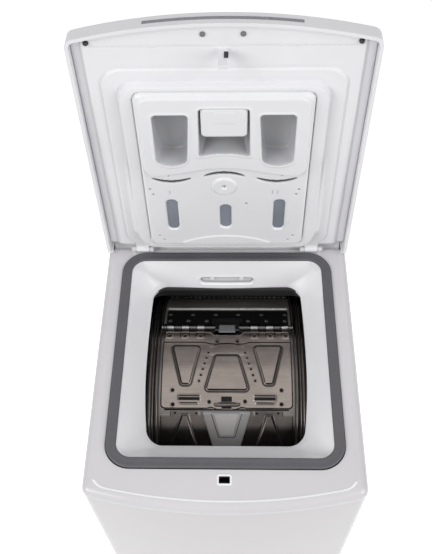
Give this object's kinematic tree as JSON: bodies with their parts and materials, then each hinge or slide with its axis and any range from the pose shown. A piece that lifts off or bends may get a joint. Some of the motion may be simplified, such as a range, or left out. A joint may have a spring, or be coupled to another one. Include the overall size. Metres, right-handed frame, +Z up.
{
  "type": "washing machine",
  "caption": "Narrow top-loading washing machine with a rear-hinged lid, detergent tray in the lid, loading funnel and a cross-mounted steel drum with two folding flaps.",
  "frame": {"origin": "on the floor, in the middle of the machine's plan", "axes": "+X to the machine's right, +Y to its back, +Z up; the lid is stored open against its stop and the drum flaps shut"},
  "size_m": [0.4, 0.6, 1.2646],
  "materials": {
    "white_paint": "smooth satin enamel",
    "white_plastic": "satin moulded",
    "grey_trim": "satin",
    "dark_grip": "fine ribbed",
    "grey_seal": "smooth soft",
    "dark_rubber": "smooth matt",
    "stainless": "brushed",
    "grey_plastic": "fine matt",
    "black_plastic": "fine matt",
    "tub_plastic": "ribbed moulded",
    "galvanised": "zinc coated",
    "concrete": "cast",
    "alloy": "die cast",
    "steel": "turned",
    "smoked_window": "polished",
    "board_green": "lacquered"
  },
  "bodies": {
    "cabinet": {"base_frame": "tub_plastic", "side_panels": "white_paint", "front_panel": "white_paint", "rear_panel": "galvanised", "top_frame": "white_plastic", "funnel": "white_plastic", "lid_seal": "grey_seal", "bellows": "dark_rubber", "water_nozzle": "white_plastic", "door_lock": "black_plastic", "console_body": "white_plastic", "console_fascia": "grey_trim", "display_window": "smoked_window", "control_board": "board_green", "filter_door_frame": "tub_plastic", "drain_pump": "tub_plastic", "inner_hoses": "dark_rubber", "inlet_valve": "white_plastic", "mains_gland": "black_plastic", "rear_feet": "black_plastic", "tub_barrel": "tub_plastic", "tub_ends": "tub_plastic", "bearings": "steel", "counterweights": "concrete", "heater": "steel", "suspension_springs": "steel", "dampers": "black_plastic", "motor": "alloy", "drive_belt": "dark_rubber", "hinge_pins": "steel"},
    "drum": {"drum_shell": "stainless", "drum_ends": "stainless", "drum_shafts": "alloy", "drum_paddles": "tub_plastic", "drum_pulley": "alloy", "hinge_rods": "steel", "hinge_block": "grey_plastic"},
    "rear_flap_leaf": {"rear_flap": "stainless"},
    "front_flap_leaf": {"front_flap": "stainless", "flap_carrier": "grey_plastic"},
    "flap_key": {"flap_button": "grey_plastic"},
    "motor_rotor": {"motor_pulley": "steel"},
    "lid": {"lid_outer": "white_plastic", "lid_liner": "white_plastic", "lid_trim": "grey_trim", "grip_insert": "dark_grip", "lid_hook": "grey_trim", "lid_buffers": "black_plastic", "lid_screws": "steel"},
    "tray": {"dispenser_tray": "white_plastic"},
    "care_cover": {"care_flap": "white_plastic"},
    "service_door": {"filter_door": "white_paint"},
    "filter": {"filter_cap": "grey_plastic"},
    "left_foot": {"foot_left": "black_plastic"},
    "right_foot": {"foot_right": "black_plastic"},
    "knob": {"program_knob": "grey_trim"},
    "power_key": {"button_power": "grey_trim"},
    "option_left_key": {"button_option_left": "grey_trim"},
    "option_right_key": {"button_option_right": "grey_trim"},
    "start_key": {"button_start": "grey_trim"}
  },
  "joints": [
    {"name": "lid_hinge", "type": "hinge", "parent": "cabinet", "child": "lid", "pos_m": [0, 0.1375, 0.8274], "axis": [-1, 0, 0], "range_deg": [-93.2, 0]},
    {"name": "drum_spin", "type": "hinge", "parent": "cabinet", "child": "drum", "pos_m": [0, 0, 0.47], "axis": [1, 0, 0], "range_deg": [-360, 360]},
    {"name": "motor_spin", "type": "hinge", "parent": "cabinet", "child": "motor_rotor", "pos_m": [0.1, 0.12, 0.14], "axis": [1, 0, 0], "continuous": true},
    {"name": "rear_flap_hinge", "type": "hinge", "parent": "drum", "child": "rear_flap_leaf", "pos_m": [0, 0.05956, 0.69867], "axis": [-1, 0, 0], "range_deg": [0, 100]},
    {"name": "front_flap_hinge", "type": "hinge", "parent": "drum", "child": "front_flap_leaf", "pos_m": [0, -0.15964, 0.64422], "axis": [1, 0, 0], "range_deg": [0, 64]},
    {"name": "flap_button_press", "type": "slide", "parent": "front_flap_leaf", "child": "flap_key", "axis": [0, 0.4772, -0.8788], "range_m": [0, 0.003], "stiffness_N_per_m": 500, "springref_m": -0.003},
    {"name": "tray_slide", "type": "slide", "parent": "lid", "child": "tray", "axis": [0, -0.9984, 0.0558], "range_m": [0, 0.06]},
    {"name": "care_cover_hinge", "type": "hinge", "parent": "tray", "child": "care_cover", "pos_m": [0, 0.13009, 1.14631], "axis": [-1, 0, 0], "range_deg": [0, 80]},
    {"name": "filter_door_hinge", "type": "hinge", "parent": "cabinet", "child": "service_door", "pos_m": [0.1562, -0.28225, 0.096], "axis": [0, 0, 1], "range_deg": [0, 90]},
    {"name": "filter_turn", "type": "hinge", "parent": "cabinet", "child": "filter", "pos_m": [0.11, -0.25, 0.096], "axis": [0, -1, 0], "range_deg": [0, 90]},
    {"name": "left_foot_turn", "type": "hinge", "parent": "cabinet", "child": "left_foot", "pos_m": [-0.165, -0.232, 0.01], "axis": [0, 0, 1], "continuous": true},
    {"name": "right_foot_turn", "type": "hinge", "parent": "cabinet", "child": "right_foot", "pos_m": [0.165, -0.232, 0.01], "axis": [0, 0, 1], "continuous": true},
    {"name": "program_turn", "type": "hinge", "parent": "cabinet", "child": "knob", "pos_m": [0.128, 0.2243, 0.868], "axis": [0, -0.1851, 0.9827], "continuous": true},
    {"name": "power_press", "type": "slide", "parent": "cabinet", "child": "power_key", "axis": [0, 0.1851, -0.9827], "range_m": [0, 0.002], "stiffness_N_per_m": 400, "springref_m": -0.003},
    {"name": "option_left_press", "type": "slide", "parent": "cabinet", "child": "option_left_key", "axis": [0, 0.1851, -0.9827], "range_m": [0, 0.002], "stiffness_N_per_m": 400, "springref_m": -0.003},
    {"name": "option_right_press", "type": "slide", "parent": "cabinet", "child": "option_right_key", "axis": [0, 0.1851, -0.9827], "range_m": [0, 0.002], "stiffness_N_per_m": 400, "springref_m": -0.003},
    {"name": "start_press", "type": "slide", "parent": "cabinet", "child": "start_key", "axis": [0, 0.1851, -0.9827], "range_m": [0, 0.002], "stiffness_N_per_m": 400, "springref_m": -0.003}
  ],
  "couplings": [
    {"joint": "motor_spin", "follows": "drum_spin", "ratio": 11.667}
  ]
}
